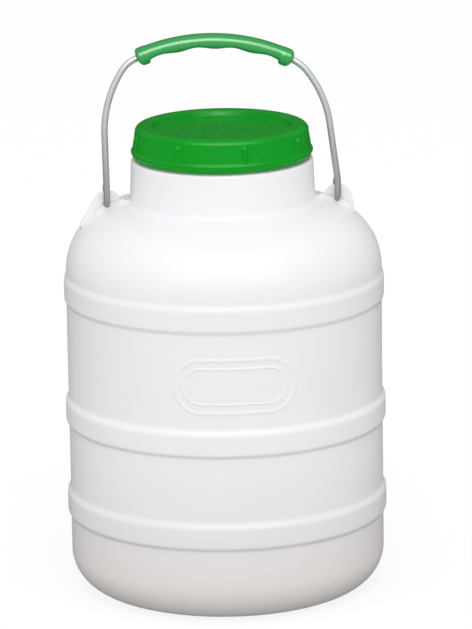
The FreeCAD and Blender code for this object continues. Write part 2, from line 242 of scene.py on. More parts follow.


# White high-density polyethylene, blown against a lightly blasted mould. It looks waxy: light
# goes a little way into it, edges glow softly, and its sheen is broad and breaks up a little
# over the faint orange peel that blowing leaves. Towards the base it is painted darker and
# warmer: painted shade, where the floor near the foot sends up less light.
POLYETHYLENE = Skin(
    name="HDPE_blow_moulded_white",
    colours=("#F3F1F4", "#EEECEF"),
    patterns=(
        # Clouds where the wall is thinner, then the orange peel and its finer grain.
        Pattern(70.0, detail=2.0),
        Pattern(5.0, detail=2.0, roughness=0.45, depth_mm=0.03),
        Pattern(0.9, detail=1.0, depth_mm=0.006),
    ),
    glossy=1,
    roughness=(0.32, 0.41),
    # Painted shade: darker and warmer towards the foot, near the floor.
    painted_shade_colour="#DDD9D6",
    painted_shade_mm=(-13.0, 130.0),
    # Light comes out of the wall a few millimetres from where it went in, a little warmer.
    shader={
        "IOR": 1.54,
        "Specular IOR Level": 0.12,
        "Subsurface Weight": 0.2,
        "Subsurface Radius": (1.0, 0.9, 0.85),
        "Subsurface Scale": 3.0 * MM,
    },
)

# Drawn steel wire, electroplated with zinc. It is light grey and half bright, as the zinc's
# dull film takes part of the mirror away. The zinc dulls in small patches, and towards the
# hooks it is painted darker: painted shade, where the wire runs down beside the ears.
ZINC_PLATED_WIRE = Skin(
    name="Steel_wire_zinc_plated",
    colours=("#CBCDCD", "#B6B8B8"),
    patterns=(
        Pattern(6.0, detail=3.0, roughness=0.6),
        # Drawing leaves fine lines along the wire: the legs run up and down, so long in Z.
        Pattern(0.35, detail=1.0, stretch_z=30.0, depth_mm=0.01),
    ),
    roughness=(0.44, 0.62),
    # Painted shade: darker towards the hooks, beside the ears.
    painted_shade_colour="#8F9190",
    painted_shade_mm=(282.0, 352.0),
    painted_shade_share=0.85,
    shader={"Metallic": 0.5},
)


@dataclass(frozen=True)
class LitPaper:
    """Matt white paper over a light table, which glows evenly and shows a faint soft shadow."""

    colour: str = "#757575"
    glow: float = 0.83

    def build(self) -> Material:
        """Make the material.

        Returns:
            The finished material.
        """
        material, tree = start_material("Paper_matt_white_lit_from_below")
        matt = {
            "Base Color": linear(self.colour),
            "Roughness": 0.9,
            "Specular IOR Level": 0.1,
            "Emission Color": linear("#FFFFFF"),
            "Emission Strength": self.glow,
        }
        shader = add_node(tree, "BsdfPrincipled", matt, {})
        add_node(tree, "OutputMaterial", {}, {"Surface": shader.outputs["BSDF"]})
        return material


class Profile:
    """A chain of points in the half plane of radius and height."""

    def __init__(self, radius: float, height: float) -> None:
        """Start the chain at a radius and a height."""
        self.points = [(radius, height)]

    def line(self, radius: float, height: float, step: float = 6.0) -> "Profile":
        """Go straight to a point.

        Args:
            radius: The point's radius.
            height: The point's height.
            step: The longest gap between points.

        Returns:
            The profile itself.
        """
        here = np.array(self.points[-1])
        ahead = np.array((radius, height)) - here
        count = max(1, math.ceil(math.hypot(*ahead) / step))
        self.points += [tuple(here + ahead * number / count) for number in range(1, count + 1)]
        return self

    def turn(self, bend: float, start: float, end: float, step: float = 1.5) -> "Profile":
        """Follow a circle from one angle to another.

        Args:
            bend: The circle's radius.
            start: The first angle, in degrees from outwards towards up.
            end: The last angle.
            step: The longest gap between points.

        Returns:
            The profile itself.
        """
        first, last = math.radians(start), math.radians(end)
        radius, height = self.points[-1]
        radius, height = radius - bend * math.cos(first), height - bend * math.sin(first)
        count = max(3, math.ceil(abs(last - first) * bend / step))
        for angle in np.linspace(first, last, count + 1)[1:]:
            self.points.append((radius + bend * math.cos(angle), height + bend * math.sin(angle)))
        return self

    def array(self) -> np.ndarray:
        """The points as rows of radius and height."""
        return np.array(self.points)


def fine_angles(step: float, windows: list[tuple[float, float, float]]) -> np.ndarray:
    """Angles round the axis, closer together inside the given windows.

    Args:
        step: The gap outside the windows, in degrees.
        windows: Middle, half width and gap of each window, in degrees.

    Returns:
        The angles in rising order, in radians.
    """
    angles = list(np.arange(0, 360, step))
    for middle, half, _ in windows:
        angles = [a for a in angles if abs((a - middle + 180) % 360 - 180) > half + step / 3]
    for middle, half, gap in windows:
        count = 2 * math.ceil(half / gap)
        angles += [(middle - half + 2 * half * k / count) % 360 for k in range(count + 1)]
    return np.radians(np.array(sorted(set(np.round(angles, 4)))))


@dataclass
class MeshParts:
    """Points and faces gathered for one mesh object."""

    points: list[np.ndarray] = field(default_factory=list)
    faces: list[list[int]] = field(default_factory=list)

    def count(self) -> int:
        """How many points there are so far."""
        return sum(len(block) for block in self.points)

    def add_grid(self, grid: np.ndarray, ends: tuple[bool, bool], wrap_rows: bool = False) -> None:
        """Add a grid of points whose columns close into a ring.

        Args:
            grid: Points by row and column, in millimetres.
            ends: Whether the first and the last row are closed by a fan.
            wrap_rows: Whether the last row joins the first one too.
        """
        base = self.count()
        rows, columns = grid.shape[:2]
        self.points.append(grid.reshape(-1, 3))
        here, column = np.mgrid[0 : rows if wrap_rows else rows - 1, 0:columns].reshape(2, -1)
        onward, beside = (here + 1) % rows * columns, (column + 1) % columns
        here = here * columns
        quads = (here + column, here + beside, onward + beside, onward + column)
        self.faces += (np.stack(quads, axis=1) + base).tolist()
        for row, wanted, way in ((0, ends[0], -1), (rows - 1, ends[1], 1)):
            if wanted:
                hub = self.count()
                self.points.append(grid[row].mean(axis=0)[None])
                ring = [base + row * columns + number for number in range(columns)]
                pairs = zip(ring, ring[1:] + ring[:1])
                self.faces += [[hub, *pair[::way]] for pair in pairs]

    def build(self, name: str, material: Material) -> Object:
        """Make a smooth mesh object.

        Args:
            name: The object's name.
            material: Its material.

        Returns:
            The new object, linked to the scene.
        """
        mesh = bpy.data.meshes.new(name)
        mesh.from_pydata((np.concatenate(self.points) * MM).tolist(), [], self.faces)
        mesh.validate()
        mesh.shade_smooth()
        mesh.materials.append(material)
        obj = bpy.data.objects.new(name, mesh)
        bpy.context.collection.objects.link(obj)
        return obj


def turned_surface(
    rows: np.ndarray, angles: np.ndarray, relief: Callable[..., np.ndarray]
) -> np.ndarray:
    """Turn a profile about the axis and raise relief on it.

    Args:
        rows: The profile's points as radius and height.
        angles: The angles of the columns, in radians.
        relief: Gives how far each point moves out along the surface's normal, from arrays of
            radius, height, angle and length along the profile.

    Returns:
        Points by row and column.
    """
    ahead = np.gradient(rows, axis=0)
    ahead /= np.maximum(np.linalg.norm(ahead, axis=1, keepdims=True), 1e-9)
    steps = np.linalg.norm(np.diff(rows, axis=0), axis=1)
    along = np.concatenate([[0.0], np.cumsum(steps)])
    radius, angle = np.meshgrid(rows[:, 0], angles, indexing="ij")
    height = np.repeat(rows[:, 1:2], len(angles), axis=1)
    length = np.repeat(along[:, None], len(angles), axis=1)
    raised = relief(radius, height, angle, length)
    out = radius + raised * ahead[:, 1:2]
    up = height - raised * ahead[:, 0:1]
    return np.stack([out * np.cos(angle), out * np.sin(angle), up], axis=2)


def full_turn(count: int) -> np.ndarray:
    """Angles spaced evenly round a whole turn."""
    return np.linspace(0, 2 * math.pi, count, endpoint=False)


def smooth_step(value: np.ndarray | float) -> np.ndarray | float:
    """Rise smoothly from nought to one as the value does, and stay there."""
    share = np.clip(value, 0, 1)
    return share * share * (3 - 2 * share)


def soft_step(width: float, height: float) -> tuple[float, float]:
    """Radius, and turn in degrees, of the two equal arcs that make a soft step."""
    radius = (width**2 + height**2) / (4 * width)
    return radius, math.degrees(2 * math.atan(width / height))


def smooth_max(first: np.ndarray, second: np.ndarray, blend: float) -> np.ndarray:
    """The larger of two arrays, with a soft change from one to the other.

    Args:
        first: One array.
        second: The other array.
        blend: How wide the change is.

    Returns:
        The blended maximum.
    """
    share = np.clip(0.5 + 0.5 * (first - second) / blend, 0, 1)
    return second + (first - second) * share + blend * share * (1 - share)


@dataclass
class Canister:
    """The blow-moulded body: foot, three bands, shoulder, neck, two ears and a label frame."""

    wall_r: float = 112.1
    foot_r: float = 28.0
    low_band_z: float = 64.0
    mid_band_drop: float = 10.6
    top_band_gap: float = 0.2
    band_face_h: float = 11.5
    band_under_h: float = 5.0
    band_over_h: float = 7.0
    band_proud: float = 2.15
    top_band_proud: float = 1.5
    shoulder_z: float = 232.2
    shoulder_slope: float = 7.4
    shoulder_flat: float = 0.5
    neck_r: float = 64.4
    neck_taper: float = 0.9
    neck_fillet_r: float = 5.8
    neck_edge_r: float = 1.8
    neck_h: float = 32.2
    finish_r: float = 59.7
    finish_h: float = 17.9
    label_w: float = 88.0
    label_h: float = 40.0
    label_line: float = 2.4
    label_gap: float = 4.2
    label_inner_line: float = 1.5
    label_proud: float = 0.36
    label_drop: float = 2.1
    ear_out: float = 16.4
    ear_rise: float = 3.6
    ear_r: float = 10.0
    ear_t: float = 4.2
    ear_outer_flare: float = 12.0
    ear_inner_flare: float = 30.0
    ear_root: float = 16.0
    ear_fillet_in: float = 2.7
    ear_hole_r: float = 3.0
    ear_edge_r: float = 1.5
    ear_lip_r: float = 0.5
    ear_rows: int = 120
    ear_fillet_r: float = 5.0
    seam_w: float = 0.8
    seam_proud: float = 0.14
    wave: float = 0.10

    def neck_base_r(self) -> float:
        """Radius of the neck at the shoulder."""
        return self.neck_r + self.neck_taper

    def bands_z(self) -> tuple[float, float, float]:
        """Heights of the three bands' middles."""
        top = self.shoulder_z - self.top_band_gap - self.band_over_h - self.band_face_h / 2
        return self.low_band_z, (self.low_band_z + top) / 2 - self.mid_band_drop, top

    def shoulder_r(self) -> float:
        """The radius that brings the shoulder's turn into the neck's hollow curve."""
        slope = math.radians(self.shoulder_slope)
        room = 1 - math.sin(slope)
        reach = self.wall_r - self.neck_base_r() - self.neck_fillet_r * room
        return (reach - self.shoulder_flat * math.cos(slope)) / room

    def shoulder_height(self, radius: float) -> float:
        """Height of the shoulder's turn at a radius."""
        bend = self.shoulder_r()
        return self.shoulder_z + math.sqrt(bend**2 - (radius - self.wall_r + bend) ** 2)

    def ledge_z(self) -> float:
        """Height of the ledge under the lid."""
        slope = math.radians(self.shoulder_slope)
        top = self.shoulder_r() * math.cos(slope) + self.shoulder_flat * math.sin(slope)
        return self.shoulder_z + top + self.neck_h

    def ear_x(self) -> float:
        """From the axis to the middle of each ear's hole."""
        return self.neck_base_r() + self.ear_out

    def ear_z(self) -> float:
        """Height of the middle of each ear's hole."""
        return self.shoulder_height(self.ear_x()) + self.ear_rise

    def profile(self) -> np.ndarray:
        """The outline of the body, from the middle of the base up to the neck's finish.

        Returns:
            Rows of radius and height.
        """
        half = self.band_face_h / 2
        chain = Profile(6, 0).line(self.wall_r - self.foot_r, 0, 8).turn(self.foot_r, -90, 0, 2.2)
        for number, centre in enumerate(self.bands_z()):
            proud = self.top_band_proud if number == 2 else self.band_proud
            chain.line(self.wall_r, centre - half - self.band_under_h, 0.45 if number == 2 else 4)
            radius, swing = soft_step(proud, self.band_under_h)
            chain.turn(radius, 180, 180 - swing, 0.5).turn(radius, -swing, 0, 0.5)
            chain.line(self.wall_r + proud, centre + half, 2.5)
            radius, swing = soft_step(proud, self.band_over_h)
            chain.turn(radius, 0, swing, 0.5).turn(radius, 180 + swing, 180, 0.5)
        bend = self.shoulder_r()
        chain.line(self.wall_r, self.shoulder_z, 2.0)
        chain.turn(bend, 0, 30, 1.8).turn(bend, 30, 90 - self.shoulder_slope, 0.8)
        slope = math.radians(self.shoulder_slope)
        chain.line(
            chain.points[-1][0] - self.shoulder_flat * math.cos(slope),
            chain.points[-1][1] + self.shoulder_flat * math.sin(slope),
        )
        taper = math.degrees(math.atan(self.neck_taper / self.neck_h))
        chain.turn(self.neck_fillet_r, 270 - self.shoulder_slope, 180 + taper, 0.6)
        ledge = self.ledge_z()
        chain.line(self.neck_r, ledge - self.neck_edge_r, 1.6).turn(self.neck_edge_r, 0, 90, 0.5)
        chain.line(self.finish_r, ledge, 2).line(self.finish_r, ledge + self.finish_h - 0.1, 4)
        chain.line(6, ledge + self.finish_h - 0.1, 10)
        return chain.array()

    def label_relief(self, height: np.ndarray, angle: np.ndarray) -> np.ndarray:
        """How far the label frame's two lines stand out.

        Args:
            height: Heights of the points.
            angle: Angles of the points.

        Returns:
            The relief at each point.
        """
        middle = sum(self.bands_z()[1:]) / 2
        across = self.wall_r * ((angle - FRONT + math.pi) % (2 * math.pi) - math.pi)
        up = height - middle + self.label_drop
        reach = self.label_h / 2
        straight = self.label_w / 2 - reach
        distance = np.hypot(np.maximum(np.abs(across) - straight, 0), up)
        relief = np.zeros_like(height)
        inner = reach - self.label_line - self.label_gap - self.label_inner_line / 2
        for line_r, width in (
            (reach - self.label_line / 2, self.label_line),
            (inner, self.label_inner_line),
        ):
            off = np.abs(distance - line_r) / (width / 2)
            relief = np.maximum(relief, self.label_proud * smooth_step((1.35 - off) / 0.75))
        return relief

    def relief(
        self, radius: np.ndarray, height: np.ndarray, angle: np.ndarray, length: np.ndarray
    ) -> np.ndarray:
        """All that stands out from the turned outline.

        Args:
            radius: Radii of the points.
            height: Heights of the points.
            angle: Angles of the points.
            length: Distances along the profile.

        Returns:
            The relief along the surface's normal.
        """
        across, side = radius * np.sin(angle), radius * np.cos(angle)
        # The mould's parting line runs up both sides, in the plane of the ears.
        seam = self.seam_proud * smooth_step(1 - np.abs(across) / (self.seam_w / 2))
        seam *= smooth_step(height / 2) * (height < self.ledge_z() - 1)
        # The wall cools unevenly, so it is a hair's breadth out of round.
        wave = np.sin(2 * angle + 0.7) * np.sin(height / 41 + 0.4)
        wave += 0.7 * np.sin(5 * angle + height / 57 + 2.1) * np.cos(height / 29)
        wave += 0.4 * np.sin(9 * angle - height / 33 + 4.0)
        wave *= self.wave * smooth_step(height / 30) * smooth_step((300 - height) / 20)
        # Soft fillets that bring the shoulder up into the ears.
        rise = self.ear_rise + 2.0
        near = self.ear_x() - self.ear_side(self.ear_inner_flare, rise)
        far = self.ear_x() + self.ear_r - self.ear_fillet_in
        slope = np.gradient(length[:, 0], radius[:, 0] + 1e-6 * np.arange(len(radius)))[:, None]
        stretch = np.clip(np.abs(slope), 1, 3)
        inside = np.maximum(np.maximum(near - np.abs(side), np.abs(side) - far), 0) * stretch
        off = np.hypot(inside, np.maximum(np.abs(across) - self.ear_t / 2, 0))
        share = np.clip(1 - off / self.ear_fillet_r, 0, 1)
        fillet = self.ear_fillet_r * (1 - np.sqrt(1 - share**2))
        fillet *= (height > self.shoulder_z + 10) * smooth_step((self.ledge_z() - 8 - height) / 8)
        return seam + wave + self.label_relief(height, angle) + 0.9 * fillet

    def ear_side(self, flare: float, drop: float) -> float:
        """From the hole's middle out to an ear's leaning side, at a drop below the hole."""
        turn = math.radians(flare)
        return self.ear_r / math.cos(turn) + drop * math.tan(turn)

    def ear(self, side: Side) -> np.ndarray:
        """One ear, as a grid that runs round its hole and round its section.

        Args:
            side: Which ear.

        Returns:
            Points by place round the hole and place round the section.
        """
        turn = full_turn(self.ear_rows) - math.pi / 2
        outer = (np.cos(turn) > 0) == (side is Side.RIGHT)
        flare = np.radians(np.where(outer, self.ear_outer_flare, self.ear_inner_flare))
        folded = np.where(turn > math.pi / 2, math.pi - turn, turn)
        reach = self.ear_r / np.maximum(np.cos(np.minimum(folded - flare, 0)), 0.05)
        depth = self.ear_root / np.maximum(-np.sin(folded), 1e-3)
        reach = np.where(folded < 0, np.minimum(reach, depth), reach)
        grid = [
            [
                (
                    side.value * (self.ear_x() + out * math.cos(angle)),
                    thick,
                    self.ear_z() + out * math.sin(angle),
                )
                for out, thick in self.ear_section(outer)
            ]
            for angle, outer in zip(turn, reach)
        ]
        return np.array(grid)[:: side.value]

    def ear_section(self, outer: float) -> list[tuple[float, float]]:
        """The section of an ear from its hole out to its rim.

        Args:
            outer: The rim's distance from the hole's middle.

        Returns:
            Pairs of distance from the hole's middle and distance from the ear's middle plane.
        """
        half, edge, lip = self.ear_t / 2, self.ear_edge_r, self.ear_lip_r
        rim, hole = outer - edge, self.ear_hole_r + lip
        ring = []
        # Each corner's place, bend, face, first angle and points, and where its face leads.
        for middle, bend, face, start, count, onward in (
            (rim, edge, -1, -90, 7, None),
            (rim, edge, 1, 0, 7, hole),
            (hole, lip, 1, 90, 5, None),
            (hole, lip, -1, 180, 5, rim),
        ):
            for turn in np.radians(np.linspace(start, start + 90, count)):
                out = middle + bend * math.cos(turn)
                ring.append((out, face * (half - bend) + bend * math.sin(turn)))
            if onward is not None:
                ring += [
                    (middle + (onward - middle) * share, face * half) for share in (0.33, 0.66)
                ]
        return ring

    def build(self, material: Material) -> Object:
        """Make the body.

        Args:
            material: The white moulding's material.

        Returns:
            The body, in place of its solid.
        """
        label_half = math.degrees((self.label_w / 2 + 3) / self.wall_r)
        # Fine columns over the label, and over each ear's seam and the two sides of its foot.
        windows = [(270, label_half, 0.23)]
        for ear in (0, 180):
            windows += [(ear, 1.0, 0.12), (ear + 3.9, 2.8, 0.4), (ear - 3.9, 2.8, 0.4)]
        angles = fine_angles(1.6, windows)
        parts = MeshParts()
        parts.add_grid(turned_surface(self.profile(), angles, self.relief), (True, True))
        for side in Side:
            parts.add_grid(self.ear(side), (False, False), wrap_rows=True)
        body = parts.build("canister_body", material)
        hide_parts("canister")
        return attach(body, "container")


@dataclass
class ScrewLid:
    """The screw lid: a bead, a tapered skirt with ribs and a recessed top."""

    ledge_z: float
    neck_r: float = 64.4
    height: float = 23.1
    ledge_gap: float = 1.0
    set_in: float = 1.2
    bead_z: float = 4.7
    bead_h: float = 4.0
    bead_proud: float = 1.1
    hem_in: float = 0.8
    hem_round: float = 1.0
    hem_chamfer: float = 0.6
    taper: float = 1.9
    edge_r: float = 4.2
    brim_w: float = 13.8
    recess_depth: float = 4.0
    recess_wall: float = 2.0
    recess_edge_r: float = 1.4
    panel_t: float = 2.2
    skirt_t: float = 3.2
    rib_count: int = 8
    rib_phase: float = 11.2
    rib_w: float = 4.4
    rib_proud: float = 0.6
    rib_top_drop: float = 4.6
    gate_r: float = 2.6
    gate_depth: float = 0.5

    def skirt_r(self) -> float:
        """Radius of the skirt just above the bead."""
        return self.neck_r - self.set_in

    def low(self) -> float:
        """Height of the lid's lower edge."""
        return self.ledge_z + self.ledge_gap

    def profile(self) -> np.ndarray:
        """The lid's outline, from the middle of its underside round to the middle of its top.

        Returns:
            Rows of radius and height.
        """
        low, top = self.low(), self.low() + self.height
        skirt, rim = self.skirt_r(), self.skirt_r() - self.taper
        inner, hem = skirt - self.skirt_t, skirt - self.hem_in
        half = self.bead_h / 2
        bead_r = (half**2 + self.bead_proud**2) / (2 * self.bead_proud)
        swing = math.degrees(math.asin(half / bead_r))
        floor = top - self.recess_depth
        slope = math.degrees(math.atan2(self.recess_depth, self.recess_wall))
        edge = self.recess_edge_r * math.tan(math.radians(slope / 2))
        recess = rim - self.brim_w
        under = floor - self.panel_t
        chain = Profile(4, under).line(inner, under, 12).line(inner, low + self.hem_chamfer, 4)
        chain.line(inner + self.hem_chamfer, low, 0.4).line(hem - self.hem_round, low, 1)
        chain.turn(self.hem_round, -90, 0, 0.25).line(skirt, low + self.bead_z - half, 0.5)
        chain.turn(bead_r, -swing, swing, 0.25)
        chain.line(rim, top - self.edge_r, 0.55).turn(self.edge_r, 0, 90, 0.35)
        chain.line(recess + self.recess_wall + edge, top, 1.2)
        chain.turn(self.recess_edge_r, 90, 90 + slope, 0.3)
        # A small hollow corner at the foot of the recess.
        chain.line(recess + 0.5, floor + 1.0, 0.4).line(recess + 0.1, floor + 0.25, 0.3)
        chain.line(recess - 0.5, floor, 0.4).line(self.gate_r + 1.6, floor, 3.0)
        chain.line(0.3, floor, 0.35)
        return chain.array()

    def relief(
        self, radius: np.ndarray, height: np.ndarray, angle: np.ndarray, length: np.ndarray
    ) -> np.ndarray:
        """Ribs on the skirt, and the dimple that the gate leaves in the middle of the top.

        Args:
            radius: Radii of the points.
            height: Heights of the points.
            angle: Angles of the points.
            length: Distances along the profile.

        Returns:
            The relief along the surface's normal.
        """
        low, top = self.low(), self.low() + self.height
        half = self.rib_w / 2
        centre = self.skirt_r() + self.rib_proud - half
        pitch = 2 * math.pi / self.rib_count
        turn = angle - FRONT - math.radians(self.rib_phase)
        across = radius * ((turn + pitch / 2) % pitch - pitch / 2)
        over = np.maximum(height - (top - self.rib_top_drop - half), 0)
        square = half**2 - across**2 - over**2
        rib = centre + np.sqrt(np.maximum(square, 0))
        outside = (radius > centre - 1) & (height > low + self.bead_z) & (length > 60)
        rib = np.where(square > 0, rib, radius - 3)
        raised = np.where(outside, smooth_max(rib, radius, 0.25) - radius, 0)
        dimple = (1 - smooth_step((radius - self.gate_r + 0.6) / 1.2)) * self.gate_depth
        dimple *= height > top - self.recess_depth - 0.5
        return raised - dimple

    def build(self, material: Material) -> Object:
        """Make the lid.

        Args:
            material: The green moulding's material.

        Returns:
            The lid, in place of its solid.
        """
        pitch = 360 / self.rib_count
        # Fine columns over each rib.
        windows = [
            ((270 + self.rib_phase + number * pitch) % 360, 2.6, 0.26)
            for number in range(self.rib_count)
        ]
        parts = MeshParts()
        surface = turned_surface(self.profile(), fine_angles(1.5, windows), self.relief)
        parts.add_grid(surface, (True, True))
        lid = parts.build("screw_lid", material)
        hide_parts("lid")
        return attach(lid, "container")


@dataclass
class Bail:
    """The bent wire bail and the moulded grip on it."""

    ear_x: float
    ear_z: float
    wire_r: float = 2.3
    hook_r: float = 7.0
    hook_sweep: float = 240.0
    hook_shift: float = 0.497
    crown_rise: float = 108.6
    arch_r: float = 128.0
    corner_run: float = 6.8
    bend_in: float = 3.4
    bend_drop: float = 40.8
    bend_flat: float = 1.5
    knee_rise: float = 7.5
    knee_run: float = 2.5
    crown_sway: float = 4.3
    bend_sway: float = 4.9
    crown_tilt: float = 2.0
    wire_end_r: float = 0.7
    grip_half: float = 54.3
    grip_end_gap: float = 1.3
    grip_w: float = 16.5
    grip_top: float = 5.9
    grip_under: float = 4.6
    finger_count: int = 4
    finger_pitch: float = 26.0
    finger_depth: float = 1.5
    collar_len: float = 8.5
    collar_lift: float = 0.3
    collar_under: float = 6.4
    collar_w: float = 17.9
    collar_tilt: float = 1.6
    end_round: float = 2.2
    grip_corner: float = 2.7
    bore_gap: float = 0.1
    ring_points: int = 64
    ring_count: int = 161
    wire_points: int = 20

    def pivot_z(self) -> float:
        """Height of the line that the bail swings about."""
        return self.ear_z + self.hook_r

    def arch_turn(self) -> float:
        """Half of the angle that the arch inside the grip spans, in radians."""
        return math.asin((self.grip_half + self.grip_end_gap) / self.arch_r)

    def crown_point(self, along: float, up: float) -> tuple[float, float]:
        """A point in the bail's plane, from the crown along the tilted arch's chord.

        Args:
            along: Distance towards +X.
            up: Distance upwards.

        Returns:
            The point's x and z.
        """
        tilt = math.radians(self.crown_tilt)
        return (
            along * math.cos(tilt) + up * math.sin(tilt) - self.crown_sway,
            self.pivot_z() + self.crown_rise - along * math.sin(tilt) + up * math.cos(tilt),
        )

    def arch_point(self, angle: float, offset: float = 0.0) -> tuple[float, float]:
        """A point on the arch at an angle from the crown, moved off the wire's line."""
        reach = self.arch_r + offset
        return self.crown_point(reach * math.sin(angle), reach * math.cos(angle) - self.arch_r)

    def leg(self, side: Side) -> list[tuple[float, float]]:
        """The wire's line from the arch's end down to the top of a hook.

        Args:
            side: Which leg.

        Returns:
            Points as x and z, evenly close.
        """
        turn = self.arch_turn()
        corner = self.crown_point(
            side.value * (self.arch_r * math.sin(turn) + self.corner_run * math.cos(turn)),
            self.arch_r * (math.cos(turn) - 1) - self.corner_run * math.sin(turn),
        )
        top = self.pivot_z() + self.crown_rise
        hook = side.value * self.ear_x - self.hook_shift
        bend = (side.value * (self.ear_x - self.bend_in) - self.bend_sway, top - self.bend_drop)
        knee = (hook, self.pivot_z() + self.knee_rise)
        start, foot = self.arch_point(side.value * turn), (hook, self.pivot_z())
        corners = np.array([start, corner, bend, knee, foot])
        bend_run = math.dist(corner, bend) - self.corner_run - self.bend_flat
        line = [corners[0]]
        for number, run in enumerate((self.corner_run, bend_run, self.knee_run)):
            line += rounded_corner(*corners[number : number + 3], run)
        return [tuple(point) for point in spread([*line, corners[-1]], 3.0)]

    def hook(self, side: Side) -> list[tuple[float, float, float]]:
        """The wire's line from a leg's foot through the ear's hole and up behind it.

        Args:
            side: Which hook.

        Returns:
            Points in space.
        """
        x = side.value * self.ear_x - self.hook_shift
        turns = np.radians(180 + np.linspace(0, self.hook_sweep, 33))
        return [
            (x, self.hook_r * math.cos(turn), self.pivot_z() + self.hook_r * math.sin(turn))
            for turn in turns
        ]

    def line(self) -> np.ndarray:
        """The wire's whole centre line, from the left hook's tip to the right hook's tip."""
        turns = np.linspace(-self.arch_turn(), self.arch_turn(), 41)[1:-1]
        flat = self.leg(Side.LEFT)[::-1][1:] + [self.arch_point(turn) for turn in turns]
        flat += self.leg(Side.RIGHT)
        points = self.hook(Side.LEFT)[::-1] + [(x, -self.hook_r, z) for x, z in flat]
        return np.array(points + self.hook(Side.RIGHT)[1:])

    def build_wire(self, material: Material) -> Object:
        """Make the wire.

        Args:
            material: The wire's material.

        Returns:
            The wire, in place of its solid.
        """
        centres, radii = rounded_ends(self.line(), self.wire_r, self.wire_end_r)
        parts = MeshParts()
        parts.add_grid(swept(centres, radii, self.wire_points), (True, True))
        wire = parts.build("bail_wire_bent", material)
        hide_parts("bail_wire")
        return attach(wire, "bail")

    def grip_section(self, place: float) -> tuple[float, float, float]:
        """Half width, height above and depth below the wire's line at a place along the grip.

        Args:
            place: Signed distance from the grip's middle.

        Returns:
            The three sizes.
        """
        reach = self.finger_count * self.finger_pitch / 2
        hollow = self.finger_depth * math.sin(math.pi * place / self.finger_pitch) ** 2
        hollow *= smooth_step((reach - abs(place)) / 2 + 1)
        collar = smooth_step((abs(place) - self.grip_half + self.collar_len) / 2.2)
        under = self.grip_under - hollow
        return (
            self.grip_w / 2 + collar * (self.collar_w - self.grip_w) / 2,
            self.grip_top + collar * self.collar_lift,
            under + collar * (self.collar_under - under),
        )

    def build_grip(self, material: Material) -> Object:
        """Make the grip.

        Args:
            material: The grip's material.

        Returns:
            The grip, in place of its solid.
        """
        body = self.grip_half - self.end_round
        rings = [self.grip_ring(place, 0.0) for place in np.linspace(-body, body, self.ring_count)]
        for side in (-1, 1):
            cap = [
                self.grip_ring(
                    side * (body + self.end_round * math.sin(turn)),
                    self.end_round * (1 - math.cos(turn)),
                )
                for turn in np.radians((15, 30, 45, 60, 72, 82, 90))
            ]
            cap += [self.bore_ring(side * (self.grip_half - deep)) for deep in (0, 3)]
            rings = cap[::-1] + rings if side < 0 else rings + cap
        parts = MeshParts()
        parts.add_grid(np.array(rings), (True, True))
        grip = parts.build("bail_grip", material)
        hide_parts("grip")
        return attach(grip, "bail")

    def grip_ring(self, place: float, pulled_in: float) -> list[tuple[float, float, float]]:
        """One ring of points round the grip.

        Args:
            place: Signed distance from the grip's middle.
            pulled_in: How far the ring lies inside the grip's full section.

        Returns:
            Points in space.
        """
        wide, above, below = self.grip_section(place)
        near_end = abs(place) - self.grip_half + self.collar_len
        tilt = self.collar_tilt * smooth_step(near_end / 6)
        power = 2 / self.grip_corner
        ring = []
        for turn in full_turn(self.ring_points):
            cosine, sine = math.cos(turn), math.sin(turn)
            across = (wide - pulled_in) * math.copysign(abs(cosine) ** power, cosine)
            depth = (above if sine > 0 else below) - pulled_in
            up = depth * math.copysign(abs(sine) ** power, sine)
            lean = tilt * (up / (4 * self.grip_top) if up > 0 else -up / self.collar_under)
            along = place - math.copysign(lean, place)
            x, z = self.arch_point(math.asin(along / self.arch_r), up)
            ring.append((x, across - self.hook_r, z))
        return ring

    def bore_ring(self, place: float) -> list[tuple[float, float, float]]:
        """A ring round the wire, just outside it, at a place along the grip."""
        ring = []
        reach = self.wire_r + self.bore_gap
        for turn in full_turn(self.ring_points):
            x, z = self.arch_point(math.asin(place / self.arch_r), reach * math.sin(turn))
            ring.append((x, reach * math.cos(turn) - self.hook_r, z))
        return ring


def rounded_corner(
    before: np.ndarray, here: np.ndarray, after: np.ndarray, run: float
) -> list[np.ndarray]:
    """Points of the arc that uses up the given run on each side of a corner.

    Args:
        before: The corner before.
        here: The corner itself.
        after: The corner after.
        run: How much of each straight the arc uses up.

    Returns:
        Points along the arc.
    """
    back, ahead = ((end - here) / np.linalg.norm(end - here) for end in (before, after))
    half = math.acos(float(np.clip(back @ ahead, -1, 1))) / 2
    towards = (back + ahead) / np.linalg.norm(back + ahead)
    centre = here + towards * run / math.cos(half)
    first, last = here + back * run - centre, here + ahead * run - centre
    bend, sweep = run * math.tan(half), math.pi - 2 * half
    return [
        centre
        + (math.sin((1 - share) * sweep) * first + math.sin(share * sweep) * last)
        / math.sin(sweep)
        for share in np.linspace(0, 1, max(6, math.ceil(sweep * bend / 1.5)))
    ]


def spread(points: list[np.ndarray], gap: float) -> list[np.ndarray]:
    """Add points on the long straights of a line.

    Args:
        points: The line's points.
        gap: The longest gap that may stay.

    Returns:
        The line with more points.
    """
    line = [points[0]]
    for point in points[1:]:
        start = line[-1]
        distance = float(np.linalg.norm(point - start))
        if distance >= 1e-3:
            count = math.ceil(distance / gap)
            line += [start + (point - start) * number / count for number in range(1, count + 1)]
    return line


